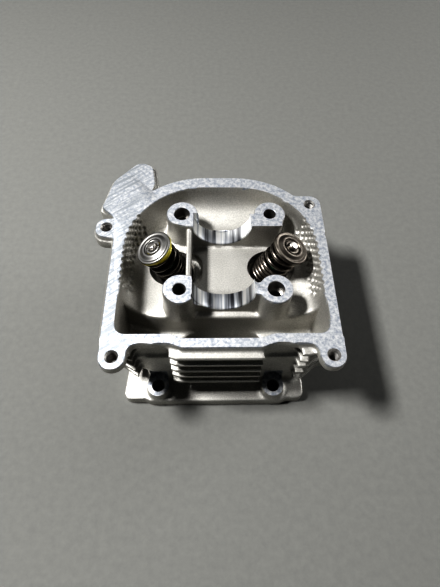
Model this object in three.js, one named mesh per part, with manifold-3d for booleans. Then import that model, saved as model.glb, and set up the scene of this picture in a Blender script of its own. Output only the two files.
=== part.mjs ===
// Cylinder head of a small overhead-cam four-stroke engine, with its two valves and all that
// closes them. Millimetres. +Z points from the deck up to the cover gasket face, +Y points away
// from the timing-chain side, the exhaust valve is on the -X side and the intake on the +X side.
// Inside the assembly the stud pattern's centre on the deck is the origin; at the end the
// assembly is shifted so that its footprint is centred and the deck lies at z = 0.
import * as THREE from "three";
import { mergeVertices } from "three/addons/utils/BufferGeometryUtils.js";
import Module from "manifold-3d";

const wasm = await Module();
wasm.setup();

// Driving dimensions ---------------------------------------------------------------------------

const HEAD_HEIGHT = 60; // deck to cover gasket face; the stud pillars end at the same level
const STUD_SPACING = 50; // square pattern of four long studs
const CAM_X = -2.35; // camshaft axis, also the middle between the two valves
const FLOOR_Z = HEAD_HEIGHT - 18.5; // floor of the cam box
const OVERSHOOT = 5; // how far cutters run past the faces that they open

const deck = { thickness: 7, left: -58.5, right: 44, rearLeft: -49, rear: 38, front: -65.8, lip: -67.3 };
const rail = {
  thickness: 5,
  left: -62.1,
  right: 55.4,
  front: -55.5,
  bulge: -57.9,
  rear: 53.1,
  rearRadius: 50,
};
const cavity = { left: -55.2, right: 49.2, front: -49.4, bulge: -51.8, rear: 44.9, rearRadius: 43.5 };
const bulge = { left: -22.5, right: 15.5, step: 6.5 }; // where rail and cavity swell towards the chain
const wall = { thickness: 3.4, bottom: 36, cornerRadius: 6 };
const core = { left: -44.5, right: 40, front: -55, rear: 36, radius: 8 };
const pit = { left: -54.9, right: 48.9, rear: -32.4, floor: 25, wall: 3.4, shellRear: -26 };
const tunnel = { left: -25, right: 20.5, front: -50.5, rear: -33.5, radius: 8 };
const fin = { thickness: 2.2, pitch: 7.8, front: -62.4 };
const FIN_TOPS = [0, 1, 2, 3, 4].map((level) => HEAD_HEIGHT - 3 - level * fin.pitch);

const stud = { hole: 3.5, pillar: 8.8, dowelRadius: 4.5, dowelDepth: 8 };
const bearing = { radius: 16.2, rear: [15.5, 25.1], front: [-28.3, -18.7] };
const rib = { left: -22.1, right: -19.6, drop: 2, arch: 7, pillarTip: -18.6 };
const BOWL_RADIUS = 13; // the cam box's floor turns up into its side and rear walls with this
const scoop = { depth: 16.2, length: 19, rear: 45.2, left: -33, right: 29 };

const EAR_RADIUS = 6.7; // round the rail's four cover bolts
const COVER_HOLES = {
  frontLeft: [-55.4, -61.9],
  frontRight: [49.4, -61.6],
  rearRight: [48.5, 32],
  rearLeft: [-66.6, 15.2],
};
const tap = { hole: 2.6, depth: 16, mouth: 3.3, mouthDepth: 0.8 }; // M6 holes of cover and pipes
const sideBolt = {
  left: [-38.3, -60],
  right: [26, -60.3],
  hole: 3.25,
  boss: 6,
  web: 4.5,
  top: 13,
  relief: 9.2,
};

const VALVE_ANGLE = THREE.MathUtils.degToRad(25);
const VALVE_SPREAD = 37.35; // from the camshaft axis to each retainer's rim
const RIM_Z = HEAD_HEIGHT + 1.5; // height of the retainer rims with the valves closed

const chamber = { sphere: 30.4, centreZ: -18.6, relief: 1.2 };
const port = { drop: 0.6, bendDepth: 49 }; // the ports fall a little from the bend to the pads
const plug = {
  foot: [CAM_X, 11, 9.5],
  angle: THREE.MathUtils.degToRad(58),
  thread: 4.6,
  reach: 12.7,
  well: 9.5,
};

// Valve train, measured along each valve's axis from the retainer rim: up is positive.
const stem = { radius: 2.5, tip: 2.6, groove: 2.1, chamfer: 0.5 };
const train = {
  retainer: {
    rim: 10.3,
    thickness: 2,
    pilot: 6.5,
    pilotDepth: 3.5,
    hub: 4.5,
    hubDepth: 5.5,
    crown: 6.9,
    crownTop: 0.9,
  },
  cotter: { top: 4.1, bottom: 3.2, upper: 0.5, lower: -5.2, slit: 0.6 },
  outerSpring: {
    radius: 8,
    wire: 1.2,
    top: -2.15,
    bottom: -29.9,
    tightTurns: 5,
    openTurns: 2.2,
    openRatio: 1.9,
  },
  innerSpring: {
    radius: 5.6,
    wire: 0.9,
    top: -3.65,
    bottom: -29.9,
    tightTurns: 1.6,
    openTurns: 5.4,
    openRatio: 1.8,
  },
  seat: { outer: 10, inner: 5.4, top: -30.1, bottom: -31 },
  pocket: { radius: 12.1, floor: -31.3, top: -8 },
  clip: { inner: 4.7, outer: 6.1, top: -31.7, bottom: -32.4, recess: 6.5, mouth: 1.6 },
  guide: {
    bore: 2.6,
    neck: 3.2,
    shoulder: 4.2,
    body: 5,
    top: -19.5,
    neckEnd: -25.5,
    shoulderEnd: -31,
    bottom: -46.5,
    lead: 3,
  },
  seal: { outer: 4.4, lip: 2.8, skirt: 3.5, top: -17.4, bottom: -25.2, roof: -19.2 },
  garter: { radius: 3.75, wire: 0.4, level: -18.4 },
  insert: { wall: 2.2, throat: 2.2, top: -52.6, bottom: -57.6 },
  head: { margin: -56.9, face: -58, cone: 1.8, neck: -47.5 },
};
const GAP = 0.3; // clearance between pieces that touch on the real engine
const TURN_FACETS = 16; // facets round every turned valve-train piece and its bore
const CHORD_ERROR = 0.16; // largest facet error on the casting's round stretches

const VALVES = {
  exhaust: { side: -1, headRadius: 8.8, portRadius: 7.6, studSpacing: 34, padFace: -56 },
  intake: { side: 1, headRadius: 10.2, portRadius: 8.3, studSpacing: 40, padFace: 52 },
};
const pad = { lobe: 6.6, web: 4.6, depth: 20, clearHalf: 27, clearBottom: 2, clearTop: 30 };

// Solids ---------------------------------------------------------------------------------------

// A closed geometry as a solid, turned right way out.
function toSolid(geometry) {
  const bare = geometry.clone();
  bare.deleteAttribute("normal");
  bare.deleteAttribute("uv");
  const merged = mergeVertices(bare, 1e-4);
  const corners = merged.index.array;
  const triangles = [];
  for (let i = 0; i < corners.length; i += 3) {
    const [a, b, c] = [corners[i], corners[i + 1], corners[i + 2]];
    if (a !== b && b !== c && c !== a) triangles.push([a, b, c]);
  }
  const build = (list) =>
    new wasm.Manifold(
      new wasm.Mesh({
        numProp: 3,
        vertProperties: merged.attributes.position.array,
        triVerts: new Uint32Array(list.flat()),
      }),
    );
  const solid = build(triangles);
  return solid.volume() > 0 ? solid : build(triangles.map(([a, b, c]) => [a, c, b]));
}

function toGeometry(solid) {
  const mesh = solid.getMesh();
  const geometry = new THREE.BufferGeometry();
  geometry.setAttribute("position", new THREE.BufferAttribute(mesh.vertProperties, 3));
  geometry.setIndex(new THREE.BufferAttribute(mesh.triVerts, 1));
  const flat = geometry.toNonIndexed();
  flat.computeVertexNormals();
  return flat;
}

const join = (solids) => solids.reduce((sum, solid) => sum.add(solid));
const cut = (solid, cutters) => cutters.reduce((rest, cutter) => rest.subtract(cutter), solid);

function arcSteps(radius, sweep) {
  return Math.max(1, Math.ceil(sweep / (2 * Math.acos(1 - CHORD_ERROR / Math.max(radius, 1)))));
}

function facets(radius) {
  return 4 * Math.ceil(arcSteps(radius, 2 * Math.PI) / 4);
}

// A plan outline through corners [x, y, radius], each rounded by a tangent arc.
function outline(corners) {
  const points = [];
  corners.forEach(([x, y, radius = 0], i) => {
    const corner = new THREE.Vector2(x, y);
    if (radius === 0) {
      points.push(corner);
      return;
    }
    const [beforeX, beforeY] = corners[(i + corners.length - 1) % corners.length];
    const [afterX, afterY] = corners[(i + 1) % corners.length];
    const back = new THREE.Vector2(beforeX, beforeY).sub(corner).normalize();
    const ahead = new THREE.Vector2(afterX, afterY).sub(corner).normalize();
    const half = Math.acos(THREE.MathUtils.clamp(back.dot(ahead), -1, 1)) / 2;
    const middle = back.clone().add(ahead).normalize();
    const centre = corner.clone().addScaledVector(middle, radius / Math.sin(half));
    const start = corner.clone().addScaledVector(back, radius / Math.tan(half)).sub(centre);
    const turn = Math.sign(back.cross(ahead)) * -1;
    const sweep = Math.PI - 2 * half;
    const steps = arcSteps(radius, sweep);
    for (let k = 0; k <= steps; k += 1) {
      const arm = start.clone().rotateAround(new THREE.Vector2(), (turn * sweep * k) / steps);
      points.push(arm.add(centre));
    }
  });
  return new THREE.Shape(points);
}

// A flat plate with the given plan outline between two levels.
function plate(shape, bottom, top) {
  const geometry = new THREE.ExtrudeGeometry(shape, { depth: top - bottom, bevelEnabled: false });
  return toSolid(geometry.translate(0, 0, bottom));
}

function box(left, right, front, rear, bottom, top) {
  const geometry = new THREE.BoxGeometry(right - left, rear - front, top - bottom);
  return toSolid(geometry.translate((left + right) / 2, (front + rear) / 2, (bottom + top) / 2));
}

// A closed solid through a stack of convex outlines, each a list of [x, y, z] of equal length.
function loft(rings) {
  const count = rings[0].length;
  const corners = [];
  const last = (rings.length - 1) * count;
  for (let k = 1; k < count - 1; k += 1) corners.push(0, k + 1, k, last, last + k, last + k + 1);
  for (let row = 0; row < last; row += count) {
    for (let k = 0; k < count; k += 1) {
      const [here, next] = [row + k, row + ((k + 1) % count)];
      corners.push(here, next, next + count, here, next + count, here + count);
    }
  }
  const geometry = new THREE.BufferGeometry();
  geometry.setAttribute("position", new THREE.Float32BufferAttribute(rings.flat(2), 3));
  geometry.setIndex(corners);
  return toSolid(geometry);
}

// A round bar or bore standing on Z.
function bar(x, y, radius, bottom, top, topRadius = radius) {
  const geometry = new THREE.CylinderGeometry(topRadius, radius, top - bottom, facets(radius));
  geometry.rotateX(Math.PI / 2);
  return toSolid(geometry.translate(x, y, (bottom + top) / 2));
}

// A round bar or bore from a point, along a direction.
function rod(from, direction, radius, length) {
  const geometry = new THREE.CylinderGeometry(radius, radius, length, facets(radius));
  geometry.translate(0, length / 2, 0);
  const along = new THREE.Vector3(...direction).normalize();
  geometry.applyQuaternion(new THREE.Quaternion().setFromUnitVectors(new THREE.Vector3(0, 1, 0), along));
  return toSolid(geometry.translate(...from));
}

// A ring or shaft turned round Z from a profile of [radius, level].
function turned(profile) {
  const points = profile.map(([radius, level]) => new THREE.Vector2(radius, level));
  const geometry = new THREE.LatheGeometry(points, TURN_FACETS);
  return toSolid(geometry.rotateX(Math.PI / 2));
}

// A ring's profile ends where it starts; a shaft's starts and ends on the axis.
const ring = (profile) => turned([...profile, profile[0]]);

const bore = (radius, bottom, top) =>
  turned([[0, bottom], [radius, bottom], [radius, top], [0, top]]);

// Valve train ----------------------------------------------------------------------------------

const outerRadiusOfInsert = (valve) => valve.headRadius + train.insert.wall;

function makeValve({ headRadius }) {
  const { margin, face, cone, neck } = train.head;
  const coneTop = margin + cone;
  const tulip = [0.25, 0.5, 0.75].map((t) => [
    stem.radius + (headRadius - cone - stem.radius) * (1 - t) ** 3,
    coneTop + (neck - coneTop) * t,
  ]);
  const grooveTop = train.cotter.upper - 2;
  return turned([
    [0, face],
    [headRadius - 0.2, face],
    [headRadius, face + 0.2],
    [headRadius, margin],
    [headRadius - cone, coneTop],
    ...tulip,
    [stem.radius, neck],
    [stem.radius, grooveTop - 1.4],
    [stem.groove, grooveTop - 1.2],
    [stem.groove, grooveTop - 0.2],
    [stem.radius, grooveTop],
    [stem.radius, stem.tip - stem.chamfer],
    [stem.radius - stem.chamfer, stem.tip],
    [0, stem.tip],
  ]);
}

// The insert's 45 degree seat stays a gap's width off the valve's own cone.
function makeSeatInsert(valve) {
  const { throat, top, bottom } = train.insert;
  const outer = outerRadiusOfInsert(valve);
  const coneSum = valve.headRadius + train.head.margin + GAP * Math.SQRT2;
  const throatRadius = valve.headRadius - throat;
  return ring([
    [outer, bottom],
    [outer, top],
    [throatRadius, top],
    [throatRadius, coneSum - throatRadius],
    [coneSum - bottom, bottom],
  ]);
}

function makeGuide() {
  const { bore: inner, neck, shoulder, body, top, neckEnd, shoulderEnd, bottom, lead } = train.guide;
  const groove = train.clip.inner - GAP;
  const grooveTop = train.clip.top + 0.15;
  const grooveBottom = train.clip.bottom - 0.15;
  return ring([
    [inner, bottom],
    [inner + 0.9, bottom],
    [body, bottom + lead],
    [body, grooveBottom],
    [groove, grooveBottom],
    [groove, grooveTop],
    [body, grooveTop],
    [body, shoulderEnd],
    [shoulder, shoulderEnd],
    [shoulder, neckEnd],
    [neck, neckEnd],
    [neck, top],
    [inner, top],
  ]);
}

function makeGuideClip() {
  const { inner, outer, top, bottom } = train.clip;
  const hoop = ring([[inner, bottom], [outer, bottom], [outer, top], [inner, top]]);
  const mouthHalf = train.clip.mouth;
  return hoop.subtract(box(0, outer + 1, -mouthHalf, mouthHalf, bottom - 1, top + 1));
}

function makeSpringSeat() {
  const { outer, inner, top, bottom } = train.seat;
  return ring([[inner, bottom], [outer, bottom], [outer, top], [inner, top]]);
}

function makeStemSeal() {
  const { outer, lip, skirt, top, bottom, roof } = train.seal;
  const groove = train.garter.radius - train.garter.wire - GAP;
  const { level, wire } = train.garter;
  return ring([
    [skirt, bottom],
    [outer, bottom],
    [outer, level - wire - GAP],
    [groove, level - wire - GAP],
    [groove, level + wire + 0.2],
    [groove + 0.3, top],
    [lip, top],
    [lip, roof],
    [skirt, roof],
  ]);
}

function makeGarterSpring() {
  const { radius, wire, level } = train.garter;
  const section = [0, 1, 2, 3, 4].map((k) => (k * 2 * Math.PI) / 5);
  return ring(section.map((a) => [radius + wire * Math.cos(a), level + wire * Math.sin(a)]));
}

// A coil spring's centre line. Close coils lie at the bottom, open ones above them, and the last
// turn at each end lies nearly flat.
class CoilLine extends THREE.Curve {
  constructor({ radius, wire, top, bottom, tightTurns, openTurns, openRatio }) {
    super();
    this.radius = radius;
    this.turns = tightTurns + openTurns;
    this.start = bottom + wire;
    const rise = top - bottom - 2 * wire;
    const samples = 200;
    this.heights = [0];
    for (let k = 0; k < samples; k += 1) {
      const turn = ((k + 0.5) / samples) * this.turns;
      const fromEnd = Math.min(turn, this.turns - turn);
      const open = THREE.MathUtils.smoothstep(turn, tightTurns - 0.4, tightTurns + 0.4);
      const slope = (fromEnd < 0.7 ? 1 : 1.15) * THREE.MathUtils.lerp(1, openRatio, open);
      this.heights.push(this.heights[k] + slope);
    }
    this.heights = this.heights.map((height) => (height / this.heights[samples]) * rise);
  }

  getPoint(t, target = new THREE.Vector3()) {
    const place = t * (this.heights.length - 1);
    const low = Math.min(Math.floor(place), this.heights.length - 2);
    const height = THREE.MathUtils.lerp(this.heights[low], this.heights[low + 1], place - low);
    const angle = 2 * Math.PI * this.turns * t;
    return target.set(this.radius * Math.cos(angle), this.radius * Math.sin(angle), this.start + height);
  }
}

function makeSpring(spring) {
  const stepsPerTurn = 9;
  const sides = 5;
  const section = Array.from({ length: sides }, (_, k) => {
    const angle = (k * 2 * Math.PI) / sides;
    return new THREE.Vector2(spring.wire * Math.cos(angle), spring.wire * Math.sin(angle));
  });
  const line = new CoilLine(spring);
  return toSolid(
    new THREE.ExtrudeGeometry(new THREE.Shape(section), {
      extrudePath: line,
      steps: Math.round(line.turns * stepsPerTurn),
      bevelEnabled: false,
    }),
  );
}

// The retainer's tapered hole follows the cotters' cone at a gap's distance.
function makeRetainer() {
  const { rim, thickness, pilot, pilotDepth, hub, hubDepth, crown, crownTop } = train.retainer;
  const { top, bottom, upper, lower } = train.cotter;
  const slope = (top - bottom) / (upper - lower);
  const coneAt = (level) => bottom + slope * (level - lower) + GAP;
  return ring([
    [coneAt(-hubDepth), -hubDepth],
    [hub, -hubDepth],
    [hub, -pilotDepth],
    [pilot, -pilotDepth],
    [pilot, -thickness],
    [rim, -thickness],
    [rim, -0.5],
    [rim - 0.5, 0],
    [crown + 1.1, 0],
    [crown, crownTop],
    [coneAt(crownTop) + 0.6, crownTop],
    [coneAt(0.2), 0.2],
  ]);
}

function makeCotter(half) {
  const { top, bottom, upper, lower, slit } = train.cotter;
  const inner = stem.radius + GAP;
  const whole = ring([[inner, lower], [bottom, lower], [top, upper], [inner, upper]]);
  const near = slit / 2;
  const far = top + 1;
  return half > 0
    ? whole.subtract(box(-far, far, -far, near, lower - 1, upper + 1))
    : whole.subtract(box(-far, far, -near, far, lower - 1, upper + 1));
}

// Casting --------------------------------------------------------------------------------------

// Where a valve's own frame stands: its origin is the middle of the retainer's rim.
function valveMatrix({ side }) {
  return new THREE.Matrix4()
    .makeRotationY(side * VALVE_ANGLE)
    .setPosition(CAM_X + side * VALVE_SPREAD, 0, RIM_Z);
}

const inHead = (solid, matrix) => solid.transform(matrix.elements);

function pointOnAxis(valve, level) {
  return new THREE.Vector3(0, 0, level).applyMatrix4(valveMatrix(valve));
}

// Rail and cavity share one form: square corners in front, a swell over the chain, round behind.
function boxOutline({ left, right, front, bulge: swell, rear, rearRadius }, cornerRadius) {
  const swellRadius = 4;
  return outline([
    [left, front, cornerRadius],
    [bulge.left - bulge.step, front, swellRadius],
    [bulge.left, swell, swellRadius],
    [bulge.right, swell, swellRadius],
    [bulge.right + bulge.step, front, swellRadius],
    [right, front, cornerRadius],
    [right, rear, rearRadius],
    [left, rear, rearRadius],
  ]);
}

function frontEar([x, y], side) {
  const reach = EAR_RADIUS;
  const outer = side > 0 ? rail.right + 0.6 : rail.left;
  const tip = y - reach;
  const inner = x - side * reach;
  return outline([
    [outer, tip, reach - 0.1],
    [inner, tip, reach - 0.1],
    [inner, rail.front, 5],
    [inner - side * 12, rail.front],
    [inner - side * 12, rail.front + 3],
    [outer, rail.front + 3],
  ]);
}

function rearRightEar() {
  const [x, y] = COVER_HOLES.rearRight;
  const reach = EAR_RADIUS;
  return outline([
    [x + reach - 0.2, y + reach, reach - 0.4],
    [x - 10, y + reach, 3],
    [x - 10, y - 20],
    [rail.right, y - 20],
  ]);
}

function rearLeftEar(extra) {
  const [x, y] = COVER_HOLES.rearLeft;
  const reach = EAR_RADIUS - 0.4 + extra;
  return outline([
    [x - reach, y + reach, reach - 0.1],
    [x - reach, y - reach, reach - 0.1],
    [rail.left + 4, y - reach - 2],
    [rail.left + 4, y + reach + 4],
    [rail.left - 2, y + reach, 2],
  ]);
}

// The closed-off boss for a secondary air passage stands out at the rear left corner.
function airBoss(extra) {
  return outline([
    [-41.5 + extra, 48],
    [-43.8 + extra, 62.5 + extra, 4],
    [-52 - extra * 0.3, 66.5 + extra, 6],
    [-66 - extra, 50.5 + extra, 10],
    [-71 - extra, 29.5, 3],
    [-63, 22, 2],
    [-50, 22],
  ]);
}

function railSolid(bottom, top) {
  const shapes = [
    boxOutline(rail, 3),
    frontEar(COVER_HOLES.frontLeft, -1),
    frontEar(COVER_HOLES.frontRight, 1),
    rearRightEar(),
    rearLeftEar(0),
    airBoss(0),
  ];
  return join(shapes.map((shape) => plate(shape, bottom, top)));
}

// One cooling fin. It follows the rail, runs forward over the chain tunnel and steps back round
// the two side bolts; lower fins are a little narrower.
function finPlate(level) {
  const inset = Math.max(0, level - 1) * 1.2;
  const left = rail.left - 1.3 + inset * 1.4;
  const right = rail.right + 0.4 - inset * 1.4;
  const rear = rail.rear + 0.4 - inset * 3;
  const top = FIN_TOPS[level];
  const whole = plate(
    outline([
      [left, -52, 4],
      [-46, -60.5, 4],
      [bulge.left - 8, -60.5, 1],
      [bulge.left - 3, fin.front, 1],
      [bulge.right + 2.5, fin.front, 1],
      [bulge.right + 8, -60.5, 1],
      [40, -60.5, 4],
      [right, -52, 4],
      [right, rear, rail.rearRadius],
      [left, rear, rail.rearRadius],
    ]),
    top - fin.thickness,
    top,
  );
  const below = top - fin.thickness - 1;
  const reliefs = [sideBolt.left, sideBolt.right].map(([x, y]) =>
    bar(x, y + 1, sideBolt.relief, below, top + 1),
  );
  return cut(whole, reliefs);
}

function portPad(valve) {
  const { side, portRadius, studSpacing, padFace } = valve;
  const height = pointOnAxis(valve, -port.bendDepth).z - port.drop;
  const half = studSpacing / 2;
  const { lobe, web, depth } = pad;
  const shape = outline([
    [-half - lobe, lobe, lobe],
    [-half - lobe, -lobe, lobe],
    [-portRadius, -portRadius - web, 6],
    [portRadius, -portRadius - web, 6],
    [half + lobe, -lobe, lobe],
    [half + lobe, lobe, lobe],
    [portRadius, portRadius + web, 6],
    [-portRadius, portRadius + web, 6],
  ]);
  const geometry = new THREE.ExtrudeGeometry(shape, { depth, bevelEnabled: false });
  geometry.rotateX(Math.PI / 2).rotateZ(Math.PI / 2);
  const inner = side > 0 ? padFace - depth : padFace;
  return toSolid(geometry.translate(inner, 0, height));
}

function outside() {
  const deckPlate = plate(
    outline([
      [deck.left, deck.front, 4],
      [-46, deck.front, 3],
      [-43, deck.lip, 3],
      [31, deck.lip, 3],
      [34, deck.front, 3],
      [deck.right, deck.front, 4],
      [deck.right + 1, deck.rear, 12],
      [deck.rearLeft, deck.rear, 12],
    ]),
    0,
    deck.thickness,
  );
  const coreBlock = plate(
    outline([
      [core.left, core.front, 4],
      [core.right, core.front, 4],
      [core.right, core.rear, core.radius],
      [core.left, core.rear, core.radius],
    ]),
    0,
    FLOOR_Z,
  );
  const tubShape = boxOutline(
    {
      left: cavity.left - wall.thickness,
      right: cavity.right + wall.thickness,
      front: cavity.front - wall.thickness,
      bulge: cavity.bulge - wall.thickness,
      rear: cavity.rear + wall.thickness,
      rearRadius: cavity.rearRadius + wall.thickness,
    },
    wall.cornerRadius,
  );
  const pitShell = box(
    pit.left - pit.wall,
    pit.right + pit.wall,
    core.front + 2,
    pit.shellRear,
    pit.floor - pit.wall,
    FLOOR_Z,
  );
  const { boss, web } = sideBolt;
  const bosses = [sideBolt.left, sideBolt.right].map(([x, y]) =>
    bar(x, y, boss, 0, sideBolt.top).add(box(x - web, x + web, y, core.front + 1, 0, sideBolt.top)),
  );
  const columns = Object.values(COVER_HOLES).map(([x, y]) =>
    bar(x, y, EAR_RADIUS - 2.4, HEAD_HEIGHT - 11, HEAD_HEIGHT - rail.thickness, EAR_RADIUS - 0.3),
  );
  return join([
    deckPlate,
    coreBlock,
    plate(tubShape, wall.bottom, HEAD_HEIGHT),
    pitShell,
    ...bosses,
    ...columns,
    railSolid(HEAD_HEIGHT - rail.thickness, HEAD_HEIGHT),
    plate(airBoss(1.8), HEAD_HEIGHT - 12, HEAD_HEIGHT - 3),
    plate(rearLeftEar(1), HEAD_HEIGHT - 9, HEAD_HEIGHT - 3),
    ...FIN_TOPS.map((_, level) => finPlate(level)),
    ...Object.values(VALVES).map(portPad),
  ]);
}

// The cam box's bowl: a floor that turns up into the side walls and the round rear wall.
function bowl(top) {
  const turnSteps = 4;
  const rearSteps = 8;
  const { left, right, front, rear, rearRadius } = cavity;
  const outlineAt = (inset, z) => {
    const arc = (centreX, from) =>
      Array.from({ length: rearSteps + 1 }, (_, k) => {
        const angle = from + (k * Math.PI) / 2 / rearSteps;
        const reach = rearRadius - inset;
        return [centreX + reach * Math.cos(angle), rear - rearRadius + reach * Math.sin(angle), z];
      });
    return [
      [left + inset, front, z],
      [right - inset, front, z],
      ...arc(right - rearRadius, 0),
      ...arc(left + rearRadius, Math.PI / 2),
    ];
  };
  const rings = Array.from({ length: turnSteps + 1 }, (_, k) => {
    const angle = (k * Math.PI) / 2 / turnSteps;
    return outlineAt(BOWL_RADIUS * (1 - Math.sin(angle)), FLOOR_Z + BOWL_RADIUS * (1 - Math.cos(angle)));
  });
  return loft([...rings, outlineAt(0, top)]);
}

// The hollow of the cam box, with the deeper pit in front where the chain comes up. The pit's
// rear edge bends back a little towards both walls.
function hollow() {
  const top = HEAD_HEIGHT + OVERSHOOT;
  return join([
    bowl(top),
    plate(boxOutline(cavity, 5), FLOOR_Z + BOWL_RADIUS, top),
    plate(
      outline([
        [pit.left, cavity.front, 4],
        [bulge.left - bulge.step, cavity.front, 4],
        [bulge.left, cavity.bulge, 4],
        [bulge.right, cavity.bulge, 4],
        [bulge.right + bulge.step, cavity.front, 4],
        [pit.right, cavity.front, 4],
        [pit.right, pit.rear + 1.8],
        [36, pit.rear + 0.3, 20],
        [-38, pit.rear + 0.2, 20],
        [pit.left, pit.rear + 4.6],
      ]),
      pit.floor,
      top,
    ),
    plate(
      outline([
        [tunnel.left, tunnel.front, tunnel.radius],
        [tunnel.right, tunnel.front, tunnel.radius],
        [tunnel.right, tunnel.rear, tunnel.radius],
        [tunnel.left, tunnel.rear, tunnel.radius],
      ]),
      -OVERSHOOT,
      FLOOR_Z,
    ),
  ]);
}

// A cast hollow beside the exhaust spring, which also opens an arch through the rib's foot.
function recess() {
  const [front, rear, right] = [-11, 10, -14];
  return plate(
    outline([[-32, front, 2], [right, front, 7], [right, rear, 7], [-32, rear, 2]]),
    FLOOR_Z - 6,
    FLOOR_Z + rib.arch,
  );
}

// Pillars, bearing saddles, the rib between two pillars and the scoop behind the rear saddle.
function inside() {
  const half = STUD_SPACING / 2;
  const bottom = FLOOR_Z - 1;
  const top = HEAD_HEIGHT;
  const saddleLeft = CAM_X - bearing.radius - 0.3;
  const saddleRight = CAM_X + bearing.radius + 0.4;
  const [rearFront, rearBack] = bearing.rear;
  const [frontFront, frontBack] = bearing.front;
  const teardrop = (y, tipY) =>
    outline([
      [rib.pillarTip, y, 1],
      [rib.pillarTip, tipY],
      [rib.left, tipY],
      [-half - stud.pillar * 0.6, y - Math.sign(y) * 7, 3],
      [-half - stud.pillar * 0.6, y, 1],
    ]);
  const pillars = [-half, half].flatMap((x) => [-half, half].map((y) => bar(x, y, stud.pillar, bottom, top)));
  const scoopFill = box(scoop.left, scoop.right, rearBack - 1, cavity.rear + 1, bottom, top);
  const drum = new THREE.CylinderGeometry(1, 1, 2 * (scoop.right - scoop.left), 32);
  drum.rotateZ(Math.PI / 2).scale(1, scoop.length, scoop.depth);
  drum.translate((scoop.left + scoop.right) / 2, scoop.rear - scoop.length, HEAD_HEIGHT);
  return join([
    scoopFill.subtract(toSolid(drum)),
    ...pillars,
    plate(teardrop(half, rearFront), bottom, top),
    plate(teardrop(-half, frontBack + 2), bottom, top),
    box(saddleRight - 1, half + stud.pillar - 0.2, rearFront, half, bottom, top),
    box(saddleRight - 1, half - 4, frontFront, -21, bottom, top),
    box(saddleLeft, saddleRight, rearFront, rearBack, bottom, top),
    box(saddleLeft, saddleRight, frontFront, frontBack, bottom, top),
    box(rib.left, rib.right, frontBack, rearFront, bottom, top - rib.drop),
  ]);
}

function valveCuts(valve) {
  const { side, headRadius, portRadius, studSpacing, padFace } = valve;
  const { pocket, clip, guide, insert, head } = train;
  const matrix = valveMatrix(valve);
  const recess = outerRadiusOfInsert(valve) + GAP;
  const throat = headRadius - insert.throat;
  const turnedCuts = join([
    bore(pocket.radius, pocket.floor, pocket.top),
    bore(clip.recess, clip.bottom - GAP, pocket.floor + 1),
    bore(guide.body + GAP, guide.bottom - 3, pocket.floor),
    bore(throat, -port.bendDepth - 5, -port.bendDepth),
    bore(recess, insert.bottom - GAP, insert.top + GAP),
    bore(headRadius + chamber.relief, head.face - 20, insert.bottom),
  ]);
  const bend = pointOnAxis(valve, -port.bendDepth);
  const elbow = new THREE.SphereGeometry(portRadius + 0.2, 20, 12);
  const span = side * (padFace - bend.x);
  const holes = [-1, 1].map((hand) => {
    const mouth = [padFace + side, (hand * studSpacing) / 2, bend.z - port.drop];
    return rod(mouth, [-side, 0, 0], tap.hole, tap.depth - 3);
  });
  const edges = [padFace, padFace + side * OVERSHOOT * 2].sort((a, b) => a - b);
  return join([
    inHead(turnedCuts, matrix),
    toSolid(elbow.translate(bend.x, bend.y, bend.z)),
    rod(bend.toArray(), [side * span, 0, -port.drop], portRadius, span + OVERSHOOT),
    box(...edges, -pad.clearHalf, pad.clearHalf, pad.clearBottom, pad.clearTop),
    ...holes,
  ]);
}

function plugCuts() {
  const along = [0, Math.sin(plug.angle), Math.cos(plug.angle)];
  const seat = plug.foot.map((value, i) => value + along[i] * plug.reach);
  const start = plug.foot.map((value, i) => value - along[i] * 6);
  return join([rod(start, along, plug.thread, plug.reach + 8), rod(seat, along, plug.well, 60)]);
}

function chamberCut() {
  const rings = 8;
  const lowest = Math.acos(-chamber.centreZ / chamber.sphere) + 0.1;
  const arc = Array.from({ length: rings + 1 }, (_, k) => {
    const angle = (lowest * k) / rings;
    return [chamber.sphere * Math.sin(angle), chamber.centreZ + chamber.sphere * Math.cos(angle)];
  });
  const points = [...arc, [0, arc[rings][1]]].map(([radius, level]) => new THREE.Vector2(radius, level));
  const dome = new THREE.LatheGeometry(points, 36).rotateX(Math.PI / 2);
  return toSolid(dome.translate(CAM_X, 0, 0));
}

function holeCuts() {
  const half = STUD_SPACING / 2;
  const top = HEAD_HEIGHT + 1;
  const studs = [-half, half].flatMap((x) => [-half, half].map((y) => bar(x, y, stud.hole, -1, top)));
  const dowels = [[-half, half], [half, -half]].map(([x, y]) =>
    bar(x, y, stud.dowelRadius, HEAD_HEIGHT - stud.dowelDepth, top),
  );
  const taps = Object.values(COVER_HOLES).flatMap(([x, y]) => [
    bar(x, y, tap.hole, HEAD_HEIGHT - tap.depth, top),
    bar(x, y, tap.hole, HEAD_HEIGHT - tap.mouthDepth, HEAD_HEIGHT + 0.01, tap.mouth),
  ]);
  const sides = [sideBolt.left, sideBolt.right].map(([x, y]) =>
    bar(x, y, sideBolt.hole, -OVERSHOOT, sideBolt.top + OVERSHOOT),
  );
  return [...studs, ...dowels, ...taps, ...sides];
}

function makeCasting() {
  const bearingCut = rod([CAM_X, -40, HEAD_HEIGHT], [0, 1, 0], bearing.radius, 72);
  const front = bearing.front[0] - 2;
  const rear = bearing.rear[1] + 3;
  const bearingOnly = bearingCut.intersect(box(-30, 30, front, rear, 20, HEAD_HEIGHT + 20));
  const body = cut(outside(), [hollow()]).add(inside());
  return cut(body, [
    recess(),
    bearingOnly,
    ...Object.values(VALVES).map(valveCuts),
    chamberCut(),
    plugCuts(),
    ...holeCuts(),
  ]);
}

// Assembly -------------------------------------------------------------------------------------

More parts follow.
